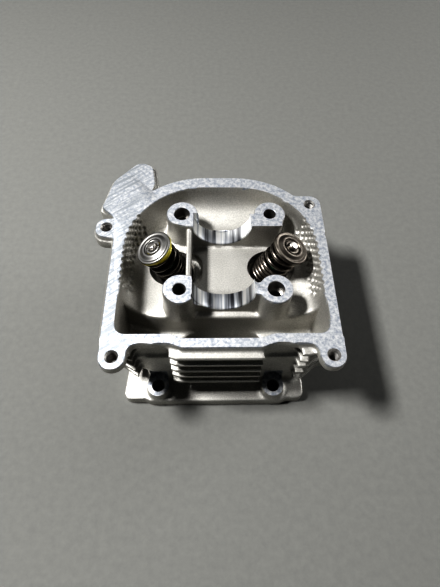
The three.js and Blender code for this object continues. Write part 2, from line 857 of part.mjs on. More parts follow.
const FINISHES = {
  cast_aluminium: { color: 0xc9c8c4, roughness: 0.55, metalness: 0.6 },
  bright_steel: { color: 0xb9b6b0, roughness: 0.3, metalness: 0.9 },
  bronzed_steel: { color: 0x6b5b4c, roughness: 0.35, metalness: 0.9 },
  spring_steel: { color: 0x4a4038, roughness: 0.35, metalness: 0.85 },
  valve_steel: { color: 0x9a948c, roughness: 0.35, metalness: 0.9 },
  sintered_iron: { color: 0x77736d, roughness: 0.6, metalness: 0.7 },
  green_rubber: { color: 0x2f4a38, roughness: 0.7, metalness: 0 },
};

function mesh(name, solid, finish) {
  const part = new THREE.Mesh(toGeometry(solid), new THREE.MeshStandardMaterial(FINISHES[finish]));
  part.name = name;
  return part;
}

function valveGroup(name, valve) {
  const group = new THREE.Group();
  const retainerFinish = name === "exhaust" ? "bright_steel" : "bronzed_steel";
  group.add(
    mesh(`${name}_valve`, makeValve(valve), "valve_steel"),
    mesh(`${name}_seat_insert`, makeSeatInsert(valve), "sintered_iron"),
    mesh(`${name}_valve_guide`, makeGuide(), "sintered_iron"),
    mesh(`${name}_guide_clip`, makeGuideClip(), "spring_steel"),
    mesh(`${name}_spring_seat`, makeSpringSeat(), "valve_steel"),
    mesh(`${name}_stem_seal`, makeStemSeal(), "green_rubber"),
    mesh(`${name}_seal_garter_spring`, makeGarterSpring(), "bright_steel"),
    mesh(`${name}_spring_outer`, makeSpring(train.outerSpring), "spring_steel"),
    mesh(`${name}_spring_inner`, makeSpring(train.innerSpring), "spring_steel"),
    mesh(`${name}_retainer`, makeRetainer(), retainerFinish),
    mesh(`${name}_cotter_a`, makeCotter(1), retainerFinish),
    mesh(`${name}_cotter_b`, makeCotter(-1), retainerFinish),
  );
  group.applyMatrix4(valveMatrix(valve));
  return group;
}

const assembly = new THREE.Group();
assembly.add(mesh("head_casting", makeCasting(), "cast_aluminium"));
for (const [name, valve] of Object.entries(VALVES)) assembly.add(valveGroup(name, valve));

assembly.updateMatrixWorld(true);
const bounds = new THREE.Box3().setFromObject(assembly, true);
const middle = bounds.getCenter(new THREE.Vector3());
assembly.position.set(-middle.x, -middle.y, -bounds.min.z);

const cylinderHead = new THREE.Group();
cylinderHead.add(assembly);

export default cylinderHead;
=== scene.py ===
"""Looks of a small overhead-cam cylinder head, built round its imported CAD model.

Shapes are worked out in millimetres from the stud pattern's centre on the deck, with the same
axes as the frame, and put into the frame in metres. The casting is a field of signed distances,
so that its ribs, pillars and walls run into each other with cast fillets; what a machine shop
takes off a real one is then cut out of it with sharp edges.
"""
import math

import bmesh
import bpy
import numpy as np
import openvdb
from mathutils import Matrix, Vector


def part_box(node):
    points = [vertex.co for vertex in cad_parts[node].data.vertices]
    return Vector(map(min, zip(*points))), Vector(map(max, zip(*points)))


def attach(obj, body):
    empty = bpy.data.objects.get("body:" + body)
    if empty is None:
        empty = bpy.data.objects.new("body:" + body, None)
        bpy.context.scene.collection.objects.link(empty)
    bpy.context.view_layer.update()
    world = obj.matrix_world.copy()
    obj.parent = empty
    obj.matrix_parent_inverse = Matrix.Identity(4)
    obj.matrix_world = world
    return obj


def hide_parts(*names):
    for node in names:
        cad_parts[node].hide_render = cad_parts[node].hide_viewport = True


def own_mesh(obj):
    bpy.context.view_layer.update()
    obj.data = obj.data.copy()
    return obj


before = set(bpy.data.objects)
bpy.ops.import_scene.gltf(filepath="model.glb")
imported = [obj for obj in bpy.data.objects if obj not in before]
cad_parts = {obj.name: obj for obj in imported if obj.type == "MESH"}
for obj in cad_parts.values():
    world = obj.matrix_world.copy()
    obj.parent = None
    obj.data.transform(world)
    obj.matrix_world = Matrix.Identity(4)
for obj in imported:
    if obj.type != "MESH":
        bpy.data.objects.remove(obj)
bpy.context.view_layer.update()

# Driving dimensions, in mm, as in the CAD model ------------------------------------------------

MM = 0.001
HEIGHT = 60.0
STUD = 25.0  # half the stud pattern
CAM_X = -2.35
FLOOR = HEIGHT - 18.5
VALVE_ANGLE = math.radians(25)
VALVE_SPREAD = 37.35
RIM_Z = HEIGHT + 1.5
OVER = 1.5  # stock left on the faces that are machined off

DECK = dict(thickness=7, left=-58.5, right=44, rear_left=-49, rear=38, front=-65.8, lip=-67.3)
RAIL = dict(left=-62.1, right=55.4, front=-55.5, bulge=-57.9, rear=53.1, rear_radius=50)
CAVITY = dict(left=-55.2, right=49.2, front=-49.4, bulge=-51.8, rear=44.9, rear_radius=43.5)
BULGE = dict(left=-22.5, right=15.5, step=6.5)
CORE = dict(left=-44.5, right=40, front=-55, rear=36)
PIT = dict(left=-54.9, right=48.9, rear=-32.4, floor=25, wall=3.4)
TUNNEL = dict(left=-25, right=20.5, front=-50.5, rear=-33.5, radius=8)
WALL = dict(thickness=3.4, bottom=36, corner=6)
FIN = dict(thickness=2.2, pitch=7.8, front=-62.4, count=5, first=HEIGHT - 3)
PILLAR = 8.8
SADDLE = dict(radius=16.2, rear=(15.5, 25.1), front=(-28.3, -18.7))
RIB = dict(left=-22.1, right=-19.6, top=HEIGHT - 2, arch=4)
BOWL = 13.0  # radius that the cam box's floor turns up into its walls with
POCKET = 12.1
CHAMFER = 0.45
GAP = 0.3  # left between pieces that touch on the real head
SEAT_RING = dict(wall=2.2, bottom=-57.6, top=-52.6)  # about the valve head's rim; heights on its axis
MARGIN = -56.9  # height of the valve head's rim on its own axis
SCOOP = dict(depth=16.2, length=19, rear=45.2, left=-33, right=29)
EAR = 6.7
EARS = dict(
    front_left=(-55.4, -61.9), front_right=(49.4, -61.6), rear_right=(48.5, 32), rear_left=(-66.6, 15.2)
)
SIDE_BOLTS = dict(left=(-38.3, -60.0), right=(26.0, -60.3))
BOSS = dict(radius=5.7, top=13, hole=3.25, relief=9.2)
PORT = dict(bend=49, tilt=0.6)
VALVES = {
    "exhaust": dict(side=-1, head=8.8, port=7.6, studs=34, face=-56, retainer="bright_steel"),
    "intake": dict(side=1, head=10.2, port=8.3, studs=40, face=52, retainer="bronzed_steel"),
}

# The stud pattern's centre in the frame, found from the two retainers, which mirror each other.
retainer_low, retainer_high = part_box("exhaust_retainer")
middle_x = (retainer_low.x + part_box("intake_retainer")[1].x) / 2
ORIGIN = Vector((middle_x - CAM_X * MM, (retainer_low.y + retainer_high.y) / 2, 0))
INTO_FRAME = Matrix.Translation(ORIGIN) @ Matrix.Scale(MM, 4)


def valve_matrix(side):
    """Where a valve's own axes stand: the origin is the middle of its retainer's rim."""
    turn = Matrix.Rotation(side * VALVE_ANGLE, 4, "Y")
    return Matrix.Translation((CAM_X + side * VALVE_SPREAD, 0, RIM_Z)) @ turn


# Outlines --------------------------------------------------------------------------------------


def outline(corners, step=math.radians(6)):
    """Points round a plan outline whose corners (x, y, radius) are rounded by tangent arcs."""
    points = []
    for i, corner in enumerate(corners):
        at = np.array(corner[:2], float)
        radius = corner[2] if len(corner) > 2 else 0
        if radius == 0:
            points.append(at)
            continue
        back = np.array(corners[i - 1][:2], float) - at
        ahead = np.array(corners[(i + 1) % len(corners)][:2], float) - at
        back /= np.hypot(*back)
        ahead /= np.hypot(*ahead)
        half = math.acos(np.clip(back @ ahead, -1, 1)) / 2
        middle = (back + ahead) / np.hypot(*(back + ahead))
        centre = at + middle * radius / math.sin(half)
        arm = at + back * radius / math.tan(half) - centre
        turn = -math.copysign(math.pi - 2 * half, back[0] * ahead[1] - back[1] * ahead[0])
        count = max(2, math.ceil(abs(turn) / step))
        for k in range(count + 1):
            c, s = math.cos(turn * k / count), math.sin(turn * k / count)
            points.append(centre + np.array((c * arm[0] - s * arm[1], s * arm[0] + c * arm[1])))
    return np.array(points)


def box_outline(size, corner):
    """Rail and cavity share one form: square in front, swelling over the chain, round behind."""
    left, right, front, swell = size["left"], size["right"], size["front"], size["bulge"]
    corners = [
        (left, front, corner),
        (BULGE["left"] - BULGE["step"], front, 5),
        (BULGE["left"], swell, 5),
        (BULGE["right"], swell, 5),
        (BULGE["right"] + BULGE["step"], front, 5),
        (right, front, corner),
        (right, size["rear"], size["rear_radius"]),
        (left, size["rear"], size["rear_radius"]),
    ]
    return outline(corners, math.radians(3))


# Signed distances ------------------------------------------------------------------------------


def smooth_min(a, b, blend):
    if blend <= 0:
        return np.minimum(a, b)
    h = np.maximum(blend - np.abs(a - b), 0) / blend
    return np.minimum(a, b) - h * h * (blend / 4)


def in_plan(points, x, y):
    """Signed distance in plan from every (x, y) of a grid to a closed outline, negative inside."""
    best = np.full(np.broadcast_shapes(x.shape, y.shape), 1e9, np.float32)
    inside = np.zeros(best.shape, bool)
    for (ax, ay), (bx, by) in zip(points, np.roll(points, -1, axis=0)):
        ex, ey = bx - ax, by - ay
        span = ex * ex + ey * ey
        if span < 1e-12:
            continue
        t = np.clip(((x - ax) * ex + (y - ay) * ey) / span, 0, 1)
        best = np.minimum(best, (x - ax - t * ex) ** 2 + (y - ay - t * ey) ** 2)
        if ey:
            inside ^= ((ay > y) != (by > y)) & (x < ax + (y - ay) * ex / ey)
    return np.where(inside, -1, 1) * np.sqrt(best)


def rounded_stack(flat, level, edge):
    """Joins a plan distance and a height distance into one solid with rounded edges."""
    a, b = flat + edge, level + edge
    return np.minimum(np.maximum(a, b), 0) + np.hypot(np.maximum(a, 0), np.maximum(b, 0)) - edge


def plate(points, bottom, top, edge=0.7, draft=0.0):
    """A flat plate; with draft it widens downwards by that much per mm."""
    low = (*(points.min(0) - draft * (top - bottom)), bottom)
    high = (*(points.max(0) + draft * (top - bottom)), top)

    def distance(x, y, z):
        flat = in_plan(points, x[:, :, 0], y[:, :, 0])[:, :, None]
        if draft:
            flat = flat - draft * (top - z)
        return rounded_stack(flat, np.abs(z - (bottom + top) / 2) - (top - bottom) / 2, edge)

    return low, high, distance


def rectangle(left, right, front, rear, radius=0):
    corners = [(left, front), (right, front), (right, rear), (left, rear)]
    return outline([(*corner, radius) for corner in corners])


def slab(left, right, front, rear, bottom, top, edge=0.7, draft=0.0):
    return plate(rectangle(left, right, front, rear), bottom, top, edge, draft)


def bar(x0, y0, radius, bottom, top, edge=0.7, draft=0.0):
    """A round bar standing on z; with draft it widens downwards."""
    reach = radius + draft * (top - bottom)

    def distance(x, y, z):
        flat = np.hypot(x - x0, y - y0) - radius - draft * (top - z)
        return rounded_stack(flat, np.abs(z - (bottom + top) / 2) - (top - bottom) / 2, edge)

    return (x0 - reach, y0 - reach, bottom), (x0 + reach, y0 + reach, top), distance


def rod(start, end, radius):
    """A round rod with round ends between two points."""
    start, end = np.array(start, float), np.array(end, float)
    along = end - start
    span = along @ along

    def distance(x, y, z):
        dx, dy, dz = x - start[0], y - start[1], z - start[2]
        t = np.clip((dx * along[0] + dy * along[1] + dz * along[2]) / span, 0, 1)
        square = (dx - t * along[0]) ** 2 + (dy - t * along[1]) ** 2 + (dz - t * along[2]) ** 2
        return np.sqrt(square) - radius

    return np.minimum(start, end) - radius, np.maximum(start, end) + radius, distance


def lying_plate(points, left, right, edge=0.7):
    """A plate whose outline lies in the y-z plane."""
    low = (left, points[:, 0].min(), points[:, 1].min())
    high = (right, points[:, 0].max(), points[:, 1].max())

    def distance(x, y, z):
        flat = in_plan(points, y[0], z[0])[None]
        return rounded_stack(flat, np.abs(x - (left + right) / 2) - (right - left) / 2, edge)

    return low, high, distance


class Field:
    """A block of voxels holding signed distances, negative inside the metal."""

    FAR = 6.0

    def __init__(self, low, high, voxel):
        self.voxel = voxel
        self.start = np.floor(np.array(low) / voxel).astype(int)
        counts = np.ceil(np.array(high) / voxel).astype(int) - self.start
        axes = [(self.start[k] + np.arange(counts[k])) * voxel for k in range(3)]
        self.x = axes[0].astype(np.float32)[:, None, None]
        self.y = axes[1].astype(np.float32)[None, :, None]
        self.z = axes[2].astype(np.float32)[None, None, :]
        self.d = np.full(counts, self.FAR, np.float32)

    def window(self, low, high):
        cut = []
        for k in range(3):
            first = math.floor((low[k] - self.FAR) / self.voxel) - self.start[k]
            last = math.ceil((high[k] + self.FAR) / self.voxel) - self.start[k]
            cut.append(slice(max(first, 0), min(last, self.d.shape[k])))
        axes = self.x[cut[0]], self.y[:, cut[1]], self.z[:, :, cut[2]]
        return tuple(cut), axes

    def add(self, shape, blend=2.0):
        low, high, distance = shape
        part, axes = self.window(low, high)
        self.d[part] = smooth_min(self.d[part], distance(*axes), blend)

    def carve(self, shape, blend=1.0):
        low, high, distance = shape
        part, axes = self.window(low, high)
        self.d[part] = -smooth_min(-self.d[part], distance(*axes), blend)

    def chamfer(self, level, size):
        """Breaks every edge that a flat cut at a level will leave."""
        slope = (self.d + (self.z - level) + size) / math.sqrt(2)
        self.d = np.maximum(self.d, slope)

    def surface(self, name, adaptivity):
        """The field's zero surface as a Blender object in mm."""
        band = 3 * self.voxel
        grid = openvdb.FloatGrid(band)
        grid.transform = openvdb.createLinearTransform(voxelSize=self.voxel)
        grid.copyFromArray(np.clip(self.d, -band, band), tuple(int(v) for v in self.start), 0.0)
        points, triangles, quads = grid.convertToPolygons(0.0, adaptivity)
        return mesh_object(name, points, [triangles, quads])


# Meshes ----------------------------------------------------------------------------------------


def mesh_object(name, points, face_arrays):
    """An object from points and arrays of triangles or quads."""
    face_arrays = [np.asarray(f, np.int32) for f in face_arrays if len(f)]
    mesh = bpy.data.meshes.new(name)
    mesh.vertices.add(len(points))
    mesh.vertices.foreach_set("co", np.asarray(points, np.float32).ravel())
    corners = np.concatenate([f.ravel() for f in face_arrays])
    sizes = np.concatenate([np.full(len(f), f.shape[1], np.int32) for f in face_arrays])
    mesh.loops.add(len(corners))
    mesh.loops.foreach_set("vertex_index", corners)
    mesh.polygons.add(len(sizes))
    starts = np.concatenate([[0], np.cumsum(sizes)[:-1]]).astype(np.int32)
    mesh.polygons.foreach_set("loop_start", starts)
    mesh.update(calc_edges=True)
    mesh.validate()
    return scene_object(name, mesh)


def scene_object(name, data):
    made = bpy.data.objects.new(name, data)
    bpy.context.scene.collection.objects.link(made)
    return made


def moved(points, matrix):
    return np.array([matrix @ Vector(p) for p in points])


def lathe(profile, segments=96, matrix=Matrix.Identity(4)):
    """Points and quads of a profile of (radius, level) turned round z.

    A profile that starts and ends on the axis gives a shaft; any other is closed into a ring.
    """
    profile = np.array(profile, float)
    solid = profile[0][0] == 0 and profile[-1][0] == 0
    rows = profile[1:-1] if solid else profile
    angles = np.arange(segments) * 2 * math.pi / segments
    x, y = np.outer(rows[:, 0], np.cos(angles)), np.outer(rows[:, 0], np.sin(angles))
    points = np.stack([x, y, np.repeat(rows[:, 1:2], segments, 1)], -1).reshape(-1, 3)
    column = np.arange(segments)
    after = (column + 1) % segments
    quads, triangles = [], []
    count = len(rows)
    for row in range(count - 1 if solid else count):
        a, b = row * segments, ((row + 1) % count) * segments
        quads.append(np.stack([a + column, a + after, b + after, b + column], 1))
    if solid:
        first, last = len(points), len(points) + 1
        points = np.vstack([points, [0, 0, profile[0][1]], [0, 0, profile[-1][1]]])
        triangles.append(np.stack([np.full(segments, first), after, column], 1))
        end = (count - 1) * segments
        triangles.append(np.stack([np.full(segments, last), end + column, end + after], 1))
    empty = np.zeros((0, 3), int)
    return moved(points, matrix), np.vstack(triangles) if triangles else empty, np.vstack(quads)


def prism(points, bottom, top, matrix=Matrix.Identity(4)):
    """Points and faces of a straight prism, fanned from its middle."""
    count = len(points)
    middle = points.mean(0)
    ring = np.vstack([points, middle])
    levels = [np.column_stack([ring, np.full(count + 1, level)]) for level in (bottom, top)]
    spots = moved(np.vstack(levels), matrix)
    here = np.arange(count)
    after = (here + 1) % count
    up = count + 1
    quads = np.stack([here, after, up + after, up + here], 1)
    floor = np.stack([np.full(count, count), after, here], 1)
    roof = np.stack([np.full(count, up + count), up + here, up + after], 1)
    return spots, np.vstack([floor, roof]), quads


def swept(grid, matrix):
    """Points and faces of a closed section, a row of the grid, carried along to the last row."""
    count, sides = grid.shape[:2]
    here = np.arange(sides)
    after = (here + 1) % sides
    rows = np.arange(count - 1)[:, None] * sides
    quads = np.stack([rows + here, rows + after, rows + sides + after, rows + sides + here], -1)
    last = (count - 1) * sides
    ends = [(base, base + k, base + k + 1) for base in (0, last) for k in range(1, sides - 1)]
    return moved(grid.reshape(-1, 3), matrix), np.array(ends), quads.reshape(-1, 4)


def block(left, right, front, rear, bottom, top):
    return prism(rectangle(left, right, front, rear), bottom, top)


def gathered(name, pieces):
    """One object from several closed pieces that don't touch each other."""
    points, triangles, quads, offset = [], [], [], 0
    for spots, threes, fours in pieces:
        points.append(spots)
        triangles.append(threes + offset)
        quads.append(fours + offset)
        offset += len(spots)
    made = mesh_object(name, np.vstack(points), [np.vstack(triangles), np.vstack(quads)])
    return face_outwards(made)


def face_outwards(made):
    work = bmesh.new()
    work.from_mesh(made.data)
    bmesh.ops.recalc_face_normals(work, faces=work.faces)
    work.to_mesh(made.data)
    work.free()
    return made


def applied(made):
    """Replaces an object's mesh by what its modifiers make of it."""
    depsgraph = bpy.context.evaluated_depsgraph_get()
    mesh = bpy.data.meshes.new_from_object(made.evaluated_get(depsgraph), depsgraph=depsgraph)
    old = made.data
    made.modifiers.clear()
    made.data = mesh
    bpy.data.meshes.remove(old)
    return made


def cut(solid, cutter, finish):
    """Cuts one object out of another; the new faces get the cutter's finish."""
    cutter.data.materials.append(finish)
    modifier = solid.modifiers.new("cut", "BOOLEAN")
    modifier.operation = "DIFFERENCE"
    modifier.solver = "MANIFOLD"
    modifier.material_mode = "TRANSFER"
    modifier.object = cutter
    applied(solid)
    bpy.data.objects.remove(cutter)


def into_frame(made, smooth_angle=35):
    """Puts a piece into the frame; its level faces are drawn flat, and the rest smooth."""
    made.data.transform(INTO_FRAME)
    normals = np.empty(3 * len(made.data.polygons), np.float32)
    made.data.polygons.foreach_get("normal", normals)
    level = 0.9999
    made.data.polygons.foreach_set("use_smooth", np.abs(normals[2::3]) < level)
    made.data.set_sharp_from_angle(angle=math.radians(smooth_angle))
    return made


# The casting -----------------------------------------------------------------------------------


def front_ear(name, side):
    x, y = EARS[name]
    outer = RAIL["right"] + 0.2 if side > 0 else RAIL["left"]
    inner = x - side * EAR
    corners = [
        (outer, y - EAR, EAR - 0.1),
        (inner, y - EAR, EAR - 0.1),
        (inner, RAIL["front"], 5),
        (inner - side * 12, RAIL["front"]),
        (inner - side * 12, RAIL["front"] + 3),
        (outer, RAIL["front"] + 3),
    ]
    return outline(corners)


def rear_right_ear():
    x, y = EARS["rear_right"]
    corner = (x + EAR - 0.2, y + EAR, EAR - 0.4)
    return outline([corner, (x - 10, y + EAR, 3), (x - 10, y - 20), (RAIL["right"], y - 20)])


def rear_left_ear(extra):
    x, y = EARS["rear_left"]
    reach = EAR - 0.4 + extra
    corners = [
        (x - reach, y + reach, reach - 0.1),
        (x - reach, y - reach, reach - 0.1),
        (RAIL["left"] + 4, y - reach - 2),
        (RAIL["left"] + 4, y + reach + 4),
        (RAIL["left"] - 2, y + reach, 2),
    ]
    return outline(corners)


def air_boss(extra):
    corners = [
        (-41.5 + extra, 48),
        (-43.8 + extra, 62.5 + extra, 4),
        (-52 - extra * 0.3, 66.5 + extra, 6),
        (-66 - extra, 50.5 + extra, 10),
        (-71 - extra, 29.5, 3),
        (-63, 22, 2),
        (-50, 22),
    ]
    return outline(corners)


def fin_outline(level):
    inset = max(0, level - 1) * 1.2
    left, right = RAIL["left"] - 1.3 + inset * 1.4, RAIL["right"] + 0.25 - inset * 1.4
    rear = RAIL["rear"] + 0.4 - inset * 3
    ledge, front = -60.5, FIN["front"]
    corners = [
        (left, -52, 4),
        (-46, ledge, 4),
        (BULGE["left"] - 8, ledge, 1),
        (BULGE["left"] - 3, front, 1),
        (BULGE["right"] + 2.5, front, 1),
        (BULGE["right"] + 8, ledge, 1),
        (40, ledge, 4),
        (right, -52, 4),
        (right, rear, RAIL["rear_radius"]),
        (left, rear, RAIL["rear_radius"]),
    ]
    return outline(corners, math.radians(3))


def port_level():
    return RIM_Z - PORT["bend"] * math.cos(VALVE_ANGLE)


def pad_outline(valve):
    half, lobe, port, level = valve["studs"] / 2, 6.6, valve["port"], port_level() - PORT["tilt"]
    waist = port + 4.6
    corners = [(-half - lobe, lobe, lobe), (-half - lobe, -lobe, lobe), (-port, -waist, 6), (port, -waist, 6)]
    corners += [(half + lobe, -lobe, lobe), (half + lobe, lobe, lobe), (port, waist, 6), (-port, waist, 6)]
    return outline(corners) + np.array((0, level))


def add_outside(metal):
    """Deck, core, walls, rail, ears, fins and pads, all run together."""
    deck = [
        (DECK["left"], DECK["front"], 4),
        (-46, DECK["front"], 3),
        (-43, DECK["lip"], 3),
        (31, DECK["lip"], 3),
        (34, DECK["front"], 3),
        (DECK["right"], DECK["front"], 4),
        (DECK["right"] + 1, DECK["rear"], 12),
        (DECK["rear_left"], DECK["rear"], 12),
    ]
    core = [
        (CORE["left"], CORE["front"], 4),
        (CORE["right"], CORE["front"], 4),
        (CORE["right"], CORE["rear"], 8),
        (CORE["left"], CORE["rear"], 8),
    ]
    outwards = dict(left=-1, right=1, front=-1, bulge=-1, rear=1, rear_radius=1)
    tub = {side: CAVITY[side] + sign * WALL["thickness"] for side, sign in outwards.items()}
    top = HEIGHT + OVER
    metal.add(plate(outline(deck), -OVER, DECK["thickness"], edge=0.9), 0)
    metal.add(plate(outline(core), -OVER, FLOOR, edge=0.9), 3)
    metal.add(plate(box_outline(tub, WALL["corner"]), WALL["bottom"], top, edge=0.9), 3)
    pit_left, pit_right = PIT["left"] - PIT["wall"], PIT["right"] + PIT["wall"]
    metal.add(slab(pit_left, pit_right, CORE["front"] + 2, -26, PIT["floor"] - 4, FLOOR, edge=2), 3)
    for x, y in SIDE_BOLTS.values():
        metal.add(bar(x, y, BOSS["radius"] + 0.3, 0.8, BOSS["top"] + OVER, draft=0.05), 2)
        metal.add(slab(x - 4.5, x + 4.5, y, CORE["front"] + 1, 0.8, BOSS["top"] + OVER), 2)
    for x, y in EARS.values():
        metal.add(bar(x, y, EAR - 2.4, HEIGHT - 11, HEIGHT - 4, edge=1.5), 4)
    rail_bottom = HEIGHT - 5
    rail = [
        box_outline(RAIL, 3),
        front_ear("front_left", -1),
        front_ear("front_right", 1),
        rear_right_ear(),
        rear_left_ear(0),
        air_boss(0),
    ]
    for points in rail:
        metal.add(plate(points, rail_bottom, top), 1.5)
    metal.add(plate(air_boss(1.8), HEIGHT - 12, HEIGHT - 3), 0.6)
    metal.add(plate(rear_left_ear(1), HEIGHT - 9, HEIGHT - 3), 0.6)
    for level in range(FIN["count"]):
        add_fin(metal, level)
    for valve in VALVES.values():
        inner, outer = sorted((valve["face"] - valve["side"] * 20, valve["face"] + valve["side"] * OVER))
        metal.add(lying_plate(pad_outline(valve), inner, outer, edge=1), 3)


def add_fin(metal, level):
    """A fin with round edges, relieved round both side bolts for their spanner."""
    top = FIN["first"] - level * FIN["pitch"]
    low, high, whole = plate(fin_outline(level), top - FIN["thickness"], top, edge=0.45)

    def distance(x, y, z):
        d = whole(x, y, z)
        for bolt_x, bolt_y in SIDE_BOLTS.values():
            d = -smooth_min(-d, np.hypot(x - bolt_x, y - bolt_y - 1) - BOSS["relief"], 0.8)
        return d

    metal.add((low, high, distance), 2)


def carve_hollow(metal):
    """The bowl of the cam box, the deeper pit in front and the chain's tunnel."""
    high = HEIGHT + 2 * BOWL
    metal.carve(plate(box_outline(CAVITY, 5), FLOOR, high, edge=BOWL), 0.8)
    front = CAVITY["front"]
    pit = [
        (PIT["left"], front, 4),
        (BULGE["left"] - BULGE["step"], front, 5),
        (BULGE["left"], CAVITY["bulge"], 5),
        (BULGE["right"], CAVITY["bulge"], 5),
        (BULGE["right"] + BULGE["step"], front, 5),
        (PIT["right"], front, 4),
        (PIT["right"], PIT["rear"] + 1.8),
        (36, PIT["rear"] + 0.3, 20),
        (-38, PIT["rear"] + 0.2, 20),
        (PIT["left"], PIT["rear"] + 4.6),
    ]
    metal.carve(plate(outline(pit), PIT["floor"], high, edge=3), 2.0)
    tunnel = rectangle(TUNNEL["left"], TUNNEL["right"], TUNNEL["front"], TUNNEL["rear"], TUNNEL["radius"])
    metal.carve(plate(tunnel, -4 * OVER, PIT["floor"] + 4, edge=0.2), 1.5)


def add_inside(metal):
    """Stud pillars, bearing saddles, the thin rib and the scoop behind the rear saddle."""
    bottom, top = FLOOR - 2, HEIGHT + OVER
    (rear_front, rear_back), (front_front, front_back) = SADDLE["rear"], SADDLE["front"]
    saddle_left, saddle_right = CAM_X - SADDLE["radius"] - 0.3, CAM_X + SADDLE["radius"] + 0.4
    low, high, fill = slab(SCOOP["left"], SCOOP["right"], rear_back - 1, CAVITY["rear"] + 1, bottom, top)

    def scoop(x, y, z):
        middle = SCOOP["rear"] - SCOOP["length"]
        across, down = (y - middle) / SCOOP["length"], (z - HEIGHT) / SCOOP["depth"]
        bowl = (np.hypot(across, down) - 1) * SCOOP["depth"]
        return -smooth_min(-fill(x, y, z), bowl, 0.5)

    metal.add((low, high, scoop), 2.5)
    for x in (-STUD, STUD):
        for y in (-STUD, STUD):
            metal.add(bar(x, y, PILLAR, bottom, top, draft=0.012), 2.5)
    for y, tip in ((STUD, rear_front), (-STUD, front_back + 2)):
        teardrop = [
            (RIB["right"] + 1, y, 1),
            (RIB["right"] + 1, tip),
            (RIB["left"], tip),
            (-STUD - PILLAR * 0.6, y - math.copysign(7, y), 3),
            (-STUD - PILLAR * 0.6, y, 1),
        ]
        metal.add(plate(outline(teardrop), bottom, top), 1.2)
    metal.add(slab(saddle_right - 1, STUD + PILLAR - 2, rear_front, STUD, bottom, top), 1.2)
    metal.add(slab(saddle_right - 1, STUD - 4, front_front, -21, bottom, top), 1.2)
    metal.add(slab(saddle_left, saddle_right, rear_front, rear_back, bottom, top), 1.2)
    metal.add(slab(saddle_left, saddle_right, front_front, front_back, bottom, top), 1.2)
    rib = slab(RIB["left"], RIB["right"], front_back, rear_front, bottom, RIB["top"], 1.0, draft=0.01)
    metal.add(rib, 1.2)
    recess = outline([(-32, -11, 2), (-14, -11, 7), (-14, 10, 7), (-32, 10, 2)])
    metal.carve(plate(recess, FLOOR - 6, FLOOR + RIB["arch"], edge=2), 0.8)


def carve_dimples(metal):
    """The staggered dimples cast into the cam box's side walls, down into the turn of its bowl."""
    pitch_y, pitch_down, size, depth = 4.2, 2.7, 1.3, 1.0
    for wall, first, last in ((CAVITY["left"], -19, 24), (CAVITY["right"], -21, 23)):
        inward = math.copysign(1, -wall)
        for row in range(6):
            turn, reach, z = bowl_side(0.9 + row * pitch_down)
            y = first + (row % 2) * pitch_y / 2
            while y < last:
                x = wall_at(wall, y) + inward * (reach + (size - depth) * math.cos(turn))
                level = z + (size - depth) * math.sin(turn)
                metal.carve(rod((x, y, level), (x, y, level + 0.1), size), 0.3)
                y += pitch_y


def bowl_side(down):
    """The slope, the reach inwards and the height of the bowl's side, so far down along it."""
    straight = HEIGHT - FLOOR - BOWL
    turn = max(down - straight, 0) / BOWL
    drop = min(down, straight) + BOWL * math.sin(turn)
    return turn, BOWL * (1 - math.cos(turn)), HEIGHT - drop


def wall_at(wall, y):
    """The cam box's side wall in plan: straight in front, then round its big rear radius."""
    radius = CAVITY["rear_radius"]
    start = CAVITY["rear"] - radius
    if y <= start:
        return wall
    sag = radius - math.sqrt(radius**2 - (y - start) ** 2)
    return wall + math.copysign(sag, -wall)


def carve_ports(metal):
    for valve in VALVES.values():
        side, radius = valve["side"], valve["port"]
        bend = valve_matrix(side) @ Vector((0, 0, -PORT["bend"]))
        outer = (valve["face"] + side * 10, 0, port_level() - PORT["tilt"])
        throat = valve_matrix(side) @ Vector((0, 0, -PORT["bend"] - 6))
        metal.carve(rod(bend, outer, radius), 0.5)
        metal.carve(rod(bend, throat, valve["head"] - SEAT_RING["wall"]), 1.5)


def machine(casting):
    """Everything that a machine shop does to the raw casting, with sharp edges."""
    span = 100
    faces = [
        block(-span, span, -span, span, HEIGHT, HEIGHT + 20),
        block(-span, span, -span, span, -20, 0),
    ]
    for x, y in SIDE_BOLTS.values():
        spot = [(0, BOSS["top"]), (BOSS["radius"] + 1.6, BOSS["top"])]
        spot += [(BOSS["radius"] + 1.6, BOSS["top"] + 9), (0, BOSS["top"] + 9)]
        faces.append(lathe(spot, 64, Matrix.Translation((x, y, 0))))
    for valve in VALVES.values():
        left, right = sorted((valve["face"], valve["face"] + valve["side"] * 12))
        faces.append(block(left, right, -27, 27, 2, 30))
    cut(casting, gathered("faces", faces), MACHINED)
    cut(casting, gathered("holes", list(straight_holes())), DRILLED)
    cut(casting, gathered("bearing_seats", list(bearing_seats())), SEAT)
    for valve in VALVES.values():
        cut(casting, gathered("valve_bore", [valve_bore(valve)]), DRILLED)
    cut(casting, gathered("chamber", [chamber()]), MACHINED)
    cut(casting, gathered("plug_well", [plug_well()]), MACHINED)


def tapped(radius, bottom, top, chamfer, pitch=1.0):
    """Profile of a tapped hole from below: its thread is a stack of grooves."""
    depth = 0.45
    profile = [(0, bottom), (radius, bottom + 1)]
    level = bottom + 1.2
    while level + pitch < top - chamfer - 0.6:
        profile += [(radius, level), (radius + depth, level + pitch / 2)]
        level += pitch
    open_radius = radius + depth + chamfer
    profile += [(radius, level), (radius, top - 1.1), (open_radius, top)]
    return profile + [(open_radius, top + 1), (0, top + 1)]


